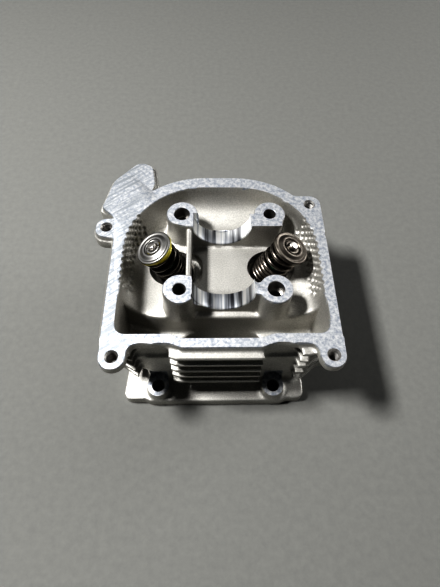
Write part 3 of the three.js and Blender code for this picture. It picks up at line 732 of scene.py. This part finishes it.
def straight_holes():
    hole, dowel, depth, rim = 3.5, 4.5, 8, 0.35
    for x in (-STUD, STUD):
        for y in (-STUD, STUD):
            top = HEIGHT - depth if x * y < 0 else HEIGHT - rim
            wide = dowel if x * y < 0 else hole
            profile = [(0, -1), (hole, -1), (hole, top), (wide, top)]
            profile += [(wide, HEIGHT - rim), (wide + rim, HEIGHT), (wide + rim, HEIGHT + 1), (0, HEIGHT + 1)]
            yield lathe(profile, 96, Matrix.Translation((x, y, 0)))
    for x, y in EARS.values():
        yield lathe(tapped(2.5, HEIGHT - 16, HEIGHT, 0.35), 72, Matrix.Translation((x, y, 0)))
    for valve in VALVES.values():
        for hand in (-1, 1):
            mouth = (valve["face"], hand * valve["studs"] / 2, port_level() - PORT["tilt"])
            turn = Matrix.Rotation(math.radians(90) * valve["side"], 4, "Y")
            yield lathe(tapped(2.5, -12, 0, 0.35), 72, Matrix.Translation(mouth) @ turn)
    for x, y in SIDE_BOLTS.values():
        top, rim = BOSS["top"], 0.4
        profile = [(0, -1), (BOSS["hole"], -1), (BOSS["hole"], top - rim), (BOSS["hole"] + rim, top)]
        profile += [(BOSS["hole"] + rim, top + 1), (0, top + 1)]
        yield lathe(profile, 72, Matrix.Translation((x, y, 0)))


def bearing_seats():
    """Half-round seats with a light chamfer at both ends of each saddle."""
    radius, rim = SADDLE["radius"], 0.4
    along_y = Matrix.Translation((CAM_X, 0, HEIGHT)) @ Matrix.Rotation(math.radians(-90), 4, "X")
    for start, end in (SADDLE["front"], SADDLE["rear"]):
        tail = 2.0 if start < 0 else 0.2
        profile = [(0, start - 2), (radius + rim, start - 2), (radius + rim, start), (radius, start + rim)]
        profile += [(radius, end - rim), (radius + rim * 0.5, end)]
        profile += [(radius + rim * 0.5, end + tail), (0, end + tail)]
        yield lathe(profile, 160, along_y)


def valve_bore(valve):
    """Spring pocket, guide bore, throat, seat recess and relief, turned on the valve's axis."""
    recess = valve["head"] + SEAT_RING["wall"] + GAP
    throat = valve["head"] - SEAT_RING["wall"]
    relief, guide, clip = valve["head"] + 1.2, 5.3, 6.5
    below, above, ledge, floor = -78, -8, -32.7, -31.3
    bottom, top = SEAT_RING["bottom"], SEAT_RING["top"] + GAP
    profile = [(0, below), (relief, below), (relief, bottom), (recess, bottom), (recess, top), (throat, top)]
    profile += [(throat, -50.5), (guide, -49), (guide, ledge), (clip, ledge), (clip, floor)]
    profile += [(POCKET - 0.3, floor), (POCKET, floor + 0.3), (POCKET, above), (0, above)]
    return lathe(profile, 96, valve_matrix(valve["side"]))


def chamber():
    """The machined dome over the cylinder."""
    sphere, centre, steps = 30.4, -18.6, 24
    lowest = math.acos(-centre / sphere) + 0.1
    angles = [lowest * k / steps for k in range(steps + 1)]
    arc = [(sphere * math.sin(a), centre + sphere * math.cos(a)) for a in angles]
    profile = [(0, arc[-1][1])] + arc[:0:-1] + [(0, arc[0][1])]
    return lathe(profile, 128, Matrix.Translation((CAM_X, 0, 0)))


def plug_well():
    """The spark plug's thread, flat seat and spanner well."""
    angle, reach, away = math.radians(58), 12.7, 60
    thread, groove, mouth, well = 4.6, 5.1, 5.3, 9.5
    stand = Matrix.Translation((CAM_X, 11, 9.5)) @ Matrix.Rotation(-angle, 4, "X")
    profile = [(0, -6), (thread, -6)]
    for k in range(11):
        profile += [(thread, 0.4 + k), (groove, 0.9 + k)]
    profile += [(thread, 11.6), (mouth, reach), (well, reach), (well, reach + away), (0, reach + away)]
    return lathe(profile, 96, stand)


def finish_milled(casting):
    """Marks every face that the milling cutter left: the flat faces and the edges it broke."""
    for face in casting.data.polygons:
        near_top = face.center.z > HEIGHT - CHAMFER and face.normal.z > 0.4
        if near_top or face.center.z < 0.01:
            face.material_index = casting.data.materials.find(MACHINED.name)


def make_casting():
    metal = Field((-78, -73, -4), (61, 73, HEIGHT + 4), 0.5)
    add_outside(metal)
    carve_hollow(metal)
    add_inside(metal)
    carve_dimples(metal)
    carve_ports(metal)
    metal.chamfer(HEIGHT, CHAMFER)
    casting = metal.surface("casting", 0.15)
    casting.data.materials.append(CAST)
    machine(casting)
    finish_milled(casting)
    into_frame(casting)
    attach(casting, "head")
    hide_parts("head_casting")


# The valve train, in each valve's own axes, measured up from its retainer's rim ---------------

STEM = 2.5
SPRINGS = {
    "outer": dict(radius=8.0, wire=1.2, top=-2.15, bottom=-29.9, tight=5.0, free=2.2, ratio=1.9),
    "inner": dict(radius=5.6, wire=0.9, top=-3.65, bottom=-29.9, tight=1.6, free=5.4, ratio=1.8),
}

# Half sections of the fixed pieces, as (radius, level) on the valve's axis.
GUIDE = [(2.6, -46.5), (3.5, -46.5), (5, -43.5), (5, -32.55), (4.4, -32.55), (4.4, -31.55), (5, -31.55)]
GUIDE += [(5, -31), (4.2, -31), (4.2, -25.5), (3.2, -25.5), (3.2, -19.5), (2.6, -19.5)]
SPRING_SEAT = [(5.4, -31), (10, -31), (10, -30.1), (5.4, -30.1)]
STEM_SEAL = [(3.5, -25.2), (4.4, -25.2), (4.4, -19.1), (3.05, -19.1), (3.05, -17.8), (3.35, -17.4)]
STEM_SEAL += [(2.8, -17.4), (2.8, -19.2), (3.5, -19.2)]


def bevelled(profile, size=0.15):
    """A ring's or shaft's profile with each sharp corner off the axis cut back a little."""
    profile = [np.array(p, float) for p in profile]
    solid = profile[0][0] == 0 and profile[-1][0] == 0
    result = []
    for i, here in enumerate(profile):
        if solid and i in (0, len(profile) - 1):
            result.append(here)
            continue
        back, ahead = profile[i - 1] - here, profile[(i + 1) % len(profile)] - here
        a, b = np.hypot(*back), np.hypot(*ahead)
        straight = abs(back @ ahead) > 0.97 * a * b
        reach = min(size, a / 3, b / 3)
        if straight or reach < 0.02:
            result.append(here)
            continue
        first, last = here + back / a * reach, here + ahead / b * reach
        result += [first, (first + last) / 2 * 0.55 + here * 0.45, last]
    return result


def turned_piece(name, profile, valve, finish, slot, body):
    made = gathered(name, [lathe(bevelled(profile), 128, valve_matrix(valve["side"]))])
    finished(made, finish, slot, body)


def finished(made, finish, slot, body):
    """Dresses a piece, whose name is that of the CAD node it stands in for and _fine."""
    made.data.materials.clear()
    made.data.materials.append(finish)
    into_frame(made)
    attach(made, body)
    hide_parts(made.name.removesuffix("_fine"))


def valve_profile(head):
    face, cone, neck = -58.0, 1.8, -47.5
    cone_top = MARGIN + cone
    waist = head - cone - STEM
    tulip = [
        (STEM + waist * (1 - t) ** 3, cone_top + (neck - cone_top) * t)
        for t in np.linspace(0.06, 0.94, 14)
    ]
    groove_top = -1.5
    profile = [(0, face + 0.6), (head - 3.2, face + 0.6), (head - 2.6, face), (head, face)]
    profile += [(head, MARGIN), (head - cone, cone_top), *tulip, (STEM, neck), (STEM, groove_top - 1.4)]
    profile += [(2.1, groove_top - 1.2), (2.1, groove_top - 0.2), (STEM, groove_top)]
    return profile + [(STEM, 2.1), (STEM - 0.5, 2.55), (0, 2.55)]


def retainer_profile():
    """The retainer's half section; its hole tapers with a gap round the cotters."""

    def cone(level):
        return 3.5 + (level + 5.2) * 0.9 / 5.7

    profile = [(cone(-5.5), -5.5), (4.5, -5.5), (4.5, -3.5), (6.5, -3.5), (6.5, -2), (10.3, -2)]
    profile += [(10.3, -0.4), (9.85, -0.02), (9.1, 0), (8.2, -0.25), (7.2, 0.35), (6.3, 0.9), (5.2, 0.9)]
    return profile + [(cone(0.2) + 0.5, 0.15), (cone(0.2), 0)]


def insert_profile(head):
    """The seat insert's half section; its cone runs GAP off the valve's own."""
    outer, throat = head + SEAT_RING["wall"], head - SEAT_RING["wall"]
    bottom, top = SEAT_RING["bottom"], SEAT_RING["top"]
    cone = head + MARGIN + GAP * math.sqrt(2)
    return [(outer, bottom), (outer, top), (throat, top), (throat, cone - throat), (cone - bottom, bottom)]


def garter_profile():
    radius, level, wire, sides = 3.75, -18.4, 0.4, 12
    turns = np.linspace(0, 2 * math.pi, sides + 1)[:-1]
    return [(radius + wire * math.cos(a), level + wire * math.sin(a)) for a in turns]


def cotter_pair(name, valve, finish, slot, body):
    """Two half-cones, made from one ring by leaving out a slit on each side."""
    profile = bevelled([(2.8, -5.2), (3.2, -5.2), (4.1, 0.5), (2.8, 0.5)], 0.12)
    slit = GAP / 3.5  # half its angle, at the cone's middle radius
    for half, start in (("a", 0), ("b", math.pi)):
        angles = np.linspace(start + slit, start + math.pi - slit, 49)
        grid = np.array([[(r * math.cos(a), r * math.sin(a), z) for r, z in profile] for a in angles])
        made = gathered(f"{name}_cotter_{half}_fine", [swept(grid, valve_matrix(valve["side"]))])
        finished(made, finish, slot, body)


def spring_line(spring, steps_per_turn=56):
    """Heights and angles along a coil whose close turns lie at the bottom."""
    turns = spring["tight"] + spring["free"]
    count = round(turns * steps_per_turn)
    t = (np.arange(count) + 0.5) / count * turns
    ease = np.clip((t - spring["tight"] + 0.4) / 0.8, 0, 1)
    ease = ease * ease * (3 - 2 * ease)
    from_end = np.minimum(t, turns - t)
    slope = np.where(from_end < 0.7, 1, 1.15) * (1 + (spring["ratio"] - 1) * ease)
    rise = spring["top"] - spring["bottom"] - 2 * spring["wire"]
    heights = np.concatenate([[0], np.cumsum(slope)])
    heights = spring["bottom"] + spring["wire"] + heights / heights[-1] * rise
    return heights, np.linspace(0, 2 * math.pi * turns, count + 1)


def make_spring(name, which, valve):
    """Round wire, its two end coils ground flat."""
    spring = SPRINGS[which]
    heights, angles = spring_line(spring)
    sides = 16
    ring = np.arange(sides) * 2 * math.pi / sides
    across = spring["radius"] + spring["wire"] * np.cos(ring)
    up = spring["wire"] * np.sin(ring)
    ground = spring["wire"] * 0.45
    level = np.clip(heights[:, None] + up, spring["bottom"] + ground, spring["top"] - ground)
    grid = np.stack([np.outer(np.cos(angles), across), np.outer(np.sin(angles), across), level], -1)
    matrix = valve_matrix(valve["side"])
    made = gathered(f"{name}_spring_{which}_fine", [swept(grid, matrix)])
    finished(made, SPRING[name], "spring_steel", "head")
    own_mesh(made)


def make_valve_train(name, valve):
    moving = f"{name}_valve_group"
    slot, finish = valve["retainer"], RETAINER[name]
    pieces = [
        ("valve", valve_profile(valve["head"]), VALVE_STEEL, "valve_steel", moving),
        ("retainer", retainer_profile(), finish, slot, moving),
        ("seat_insert", insert_profile(valve["head"]), SINTERED, "sintered_iron", "head"),
        ("valve_guide", GUIDE, SINTERED, "sintered_iron", "head"),
        ("spring_seat", SPRING_SEAT, VALVE_STEEL, "valve_steel", "head"),
        ("stem_seal", STEM_SEAL, RUBBER, "green_rubber", "head"),
        ("seal_garter_spring", garter_profile(), VALVE_STEEL, "bright_steel", "head"),
    ]
    for part, profile, part_finish, part_slot, body in pieces:
        turned_piece(f"{name}_{part}_fine", profile, valve, part_finish, part_slot, body)
    cotter_pair(name, valve, finish, slot, moving)
    for which in SPRINGS:
        make_spring(name, which, valve)
    # the guide clip takes the spring wire's finish, on the exhaust side with its painted shade
    clip_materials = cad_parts[f"{name}_guide_clip"].data.materials
    clip_materials.clear()
    clip_materials.append(SPRING[name])


# Materials -------------------------------------------------------------------------------------


def material(name, metallic=1.0):
    made = bpy.data.materials.new(name)
    made.use_nodes = True
    shader = made.node_tree.nodes["Principled BSDF"]
    shader.inputs["Metallic"].default_value = metallic
    return made, made.node_tree, shader


def feed(tree, socket, value):
    """Links a socket to another, or sets its own value."""
    if isinstance(value, bpy.types.NodeSocket):
        tree.links.new(value, socket)
    else:
        socket.default_value = (*value, 1) if socket.type == "RGBA" else value


def node(tree, kind, inputs=(), **settings):
    made = tree.nodes.new(kind)
    for key, value in settings.items():
        setattr(made, key, value)
    for key, value in dict(inputs).items():
        feed(tree, made.inputs[key], value)
    return made


def place(tree):
    """Object coordinates, in metres, for a texture that sticks to the metal."""
    return node(tree, "ShaderNodeTexCoord").outputs["Object"]


def noise(tree, per_mm, detail=3.0, rough=0.5, vector=None):
    inputs = {"Vector": vector or place(tree), "Scale": per_mm / MM, "Detail": detail, "Roughness": rough}
    return node(tree, "ShaderNodeTexNoise", inputs).outputs["Fac"]


def ramp(tree, factor, stops):
    made = node(tree, "ShaderNodeValToRGB", {"Fac": factor})
    while len(made.color_ramp.elements) < len(stops):
        made.color_ramp.elements.new(0.5)
    for element, (position, colour) in zip(made.color_ramp.elements, stops):
        element.position = position
        element.color = (*colour, 1) if hasattr(colour, "__len__") else (colour, colour, colour, 1)
    return made.outputs["Color"]


def bump(tree, height, distance_mm, strength=1.0):
    inputs = {"Height": height, "Distance": distance_mm * MM, "Strength": strength}
    return node(tree, "ShaderNodeBump", inputs).outputs["Normal"]


def mix(tree, factor, first, second):
    inputs = {0: factor, 6: first, 7: second}
    return node(tree, "ShaderNodeMix", inputs, data_type="RGBA").outputs[2]


def maths(tree, operation, *values):
    return node(tree, "ShaderNodeMath", dict(enumerate(values)), operation=operation).outputs[0]


def cast_material():
    """Sand-blasted die-cast aluminium: a fine grain, faint stains and a soft sheen."""
    made, tree, shader = material("cast_aluminium_raw")
    stains = noise(tree, 0.05, 4, 0.6)
    tone = ramp(tree, stains, [(0.3, (0.38, 0.372, 0.352)), (0.7, (0.48, 0.47, 0.447))])
    grain = noise(tree, 1.3, 4, 0.6)
    speckle = ramp(tree, grain, [(0.38, 0.0), (0.66, 0.45)])
    feed(tree, shader.inputs["Base Color"], mix(tree, speckle, tone, (0.68, 0.665, 0.62)))
    feed(tree, shader.inputs["Roughness"], ramp(tree, grain, [(0.3, 0.68), (0.75, 0.55)]))
    feed(tree, shader.inputs["Normal"], bump(tree, grain, 0.16, 0.8))
    return made


def stretched(tree, along, across, turn):
    """Object coordinates stretched along a level direction, for cutter marks and for painted reflection
    bands; scales per mm.
    """
    turned = node(tree, "ShaderNodeMapping", {"Vector": place(tree), "Rotation": (0, 0, -turn)}).outputs[0]
    scales = (along / MM, across / MM, across / MM)
    return node(tree, "ShaderNodeMapping", {"Vector": turned, "Scale": scales}).outputs[0]


def machined_material():
    """Milled aluminium: bright, with a fine bluish mottle; the strokes show most on the left."""
    made, tree, shader = material("machined_aluminium")
    mottle = noise(tree, 0.5, 6, 0.7)
    tone = ramp(tree, mottle, [(0.40, (0.33, 0.35, 0.385)), (0.60, (0.60, 0.60, 0.60))])
    spots = stretched(tree, 0.04, 0.7, math.radians(38))
    strokes = ramp(tree, noise(tree, MM, 2, 0.5, spots), [(0.42, 0.0), (0.60, 1.0)])
    start = (INTO_FRAME @ Vector((-42, 0, 0))).x
    x = node(tree, "ShaderNodeSeparateXYZ", {0: place(tree)}).outputs[0]
    leftness = maths(tree, "MULTIPLY", maths(tree, "SUBTRACT", start, x), 1 / (12 * MM))
    leftness = node(tree, "ShaderNodeClamp", {"Value": leftness}).outputs[0]
    streaks = maths(tree, "MULTIPLY", strokes, leftness)
    feed(tree, shader.inputs["Base Color"], mix(tree, streaks, tone, (0.31, 0.325, 0.34)))
    rough = ramp(tree, mottle, [(0.35, 0.70), (0.65, 0.60)])
    feed(tree, shader.inputs["Roughness"], rough)
    feed(tree, shader.inputs["Normal"], bump(tree, noise(tree, 2.2, 3), 0.02, 0.4))
    return made


def seat_material():
    """A bored bearing seat with painted reflections: bands along the bore, from bright to bluish and dark."""
    made, tree, shader = material("bored_aluminium_painted_reflections")
    # painted reflections: bright, bluish and dark bands stand in for the streaky light that the bore's
    # turning marks reflect
    painted_reflection_bands = noise(tree, MM, 2, 0.5, stretched(tree, 0.45, 0.015, 0))
    dark, bluish, bright = (0.16, 0.165, 0.18), (0.60, 0.62, 0.66), (0.93, 0.93, 0.92)
    tone = ramp(tree, painted_reflection_bands, [(0.36, dark), (0.48, bluish), (0.60, bright)])
    feed(tree, shader.inputs["Base Color"], tone)
    feed(tree, shader.inputs["Roughness"], ramp(tree, painted_reflection_bands, [(0.35, 0.30), (0.65, 0.42)]))
    return made


def steel(name, light, dark, rough, grain=0.006):
    """Turned or drawn steel, a little uneven in tone and sheen."""
    made, tree, shader = material(name)
    wear = noise(tree, 0.22, 4, 0.55)
    feed(tree, shader.inputs["Base Color"], ramp(tree, wear, [(0.35, dark), (0.65, light)]))
    feed(tree, shader.inputs["Roughness"], ramp(tree, wear, [(0.3, rough + 0.12), (0.7, rough)]))
    feed(tree, shader.inputs["Normal"], bump(tree, noise(tree, 3.0, 2), grain, 0.5))
    return made


def paint_band(made, valve, level, direction):
    """Ragged yellow paint over a metal, from a level of the valve's axis on, up (1) or down (-1)."""
    tree = made.node_tree
    shader = tree.nodes["Principled BSDF"]
    metal = shader.inputs["Base Color"].links[0].from_socket
    matrix = valve_matrix(valve["side"])
    axis = (matrix.to_3x3() @ Vector((0, 0, 1))).normalized()
    inputs = {0: place(tree), 1: tuple(axis)}
    along = node(tree, "ShaderNodeVectorMath", inputs, operation="DOT_PRODUCT").outputs["Value"]
    start = axis.dot(INTO_FRAME @ (matrix @ Vector((0, 0, level))))
    fade = 0.3 * MM
    depth = maths(tree, "MULTIPLY", maths(tree, "SUBTRACT", along, start), direction / fade)
    depth = node(tree, "ShaderNodeClamp", {"Value": depth}).outputs[0]
    ragged = ramp(tree, noise(tree, 0.25, 3), [(0.32, 0.35), (0.48, 1.0)])
    cover = maths(tree, "MULTIPLY", depth, ragged)
    feed(tree, shader.inputs["Base Color"], mix(tree, cover, metal, (0.70, 0.62, 0.10)))
    feed(tree, shader.inputs["Metallic"], maths(tree, "SUBTRACT", 1.0, cover))
    return made


def rubber_material():
    made, tree, shader = material("green_rubber_seal", metallic=0.0)
    tone = ramp(tree, noise(tree, 0.8, 4), [(0.3, (0.03, 0.09, 0.05)), (0.7, (0.06, 0.15, 0.09))])
    feed(tree, shader.inputs["Base Color"], tone)
    shader.inputs["Roughness"].default_value = 0.55
    return made


CAST = cast_material()
MACHINED = machined_material()
SEAT = seat_material()
DRILLED = steel("drilled_aluminium", (0.50, 0.49, 0.47), (0.30, 0.29, 0.28), 0.4, 0.02)
VALVE_STEEL = steel("ground_valve_steel", (0.62, 0.60, 0.57), (0.45, 0.43, 0.40), 0.26)
SINTERED = steel("sintered_iron_grey", (0.38, 0.37, 0.35), (0.24, 0.23, 0.22), 0.45, 0.05)
RETAINER = {
    "exhaust": steel("polished_retainer_steel", (0.33, 0.325, 0.31), (0.21, 0.205, 0.2), 0.36),
    "intake": steel("tinted_retainer_steel", (0.17, 0.155, 0.135), (0.09, 0.08, 0.07), 0.38),
}
RUBBER = rubber_material()
SPRING = {
    # painted shade: the exhaust spring's wire is made darker than the intake's, as for a spring standing in
    # shade
    "exhaust": steel("oiled_spring_wire", (0.16, 0.15, 0.135), (0.05, 0.045, 0.04), 0.24),
    "intake": steel("dark_spring_wire", (0.22, 0.20, 0.18), (0.08, 0.07, 0.06), 0.24),
}
paint_band(RETAINER["exhaust"], VALVES["exhaust"], -0.55, -1)
paint_band(SPRING["exhaust"], VALVES["exhaust"], -4.6, 1)


# Stage -----------------------------------------------------------------------------------------


def floor_material():
    made, tree, shader = material("floor_grey", metallic=0.0)
    weave = noise(tree, 0.25, 6, 0.7)
    tone = ramp(tree, weave, [(0.3, (0.15, 0.15, 0.142)), (0.7, (0.175, 0.175, 0.164))])
    feed(tree, shader.inputs["Base Color"], tone)
    shader.inputs["Roughness"].default_value = 0.9
    return made


def make_floor():
    size = 3.0
    corners = [(-size, -size, 0), (size, -size, 0), (size, size, 0), (-size, size, 0)]
    made = mesh_object("floor", corners, [[(0, 1, 2, 3)]])
    made.location.z = -0.0002  # a hair under the deck, so that the two faces don't flicker
    made.data.materials.append(floor_material())


def make_light(name, location, size, power):
    """A soft box of so many metres and watts, aimed at the middle of the head."""
    data = bpy.data.lights.new(name, "AREA")
    data.shape = "RECTANGLE"
    data.size, data.size_y = size
    data.energy = power
    made = scene_object(name, data)
    made.location = location
    target = Vector((0, 0, 0.03))
    made.rotation_euler = (target - Vector(location)).to_track_quat("-Z", "Y").to_euler()


def make_world():
    world = bpy.data.worlds.new("studio")
    bpy.context.scene.world = world
    world.use_nodes = True
    background = world.node_tree.nodes["Background"]
    background.inputs["Color"].default_value = (0.9, 0.95, 1.0, 1)
    background.inputs["Strength"].default_value = 0.035


def make_camera():
    """A phone's view from above the chain side."""
    eye = Vector((-9.0, -141.2, HEIGHT + 192.0))  # mm
    pitch, yaw, roll = math.radians(59.43), math.radians(2.48), math.radians(1.96)
    ahead = Vector((math.sin(yaw) * math.cos(pitch), math.cos(yaw) * math.cos(pitch), -math.sin(pitch)))
    right = Vector((math.cos(yaw), -math.sin(yaw), 0))
    up = right.cross(ahead)
    rolled_right = right * math.cos(roll) + up * math.sin(roll)
    rolled_up = up * math.cos(roll) - right * math.sin(roll)
    data = bpy.data.cameras.new("camera")
    data.lens = 26.91
    data.sensor_width = 36
    data.sensor_fit = "AUTO"
    data.clip_start = 0.01
    camera = scene_object("camera", data)
    turn = Matrix((rolled_right, rolled_up, -ahead)).transposed().to_4x4()
    camera.matrix_world = Matrix.Translation(INTO_FRAME @ eye) @ turn
    bpy.context.scene.camera = camera


make_casting()
for name, valve in VALVES.items():
    make_valve_train(name, valve)
make_camera()
make_floor()
make_world()
make_light("key", (-0.53, 0.0, 0.88), (0.22, 0.12), 14)
make_light("fill", (0.85, 0.35, 0.35), (0.5, 0.3), 4)
make_light("sheen", (0.15, 0.75, 0.95), (0.9, 0.5), 0.8)
bpy.context.scene.view_settings.view_transform = "Standard"
bpy.context.scene.view_settings.look = "Very High Contrast"
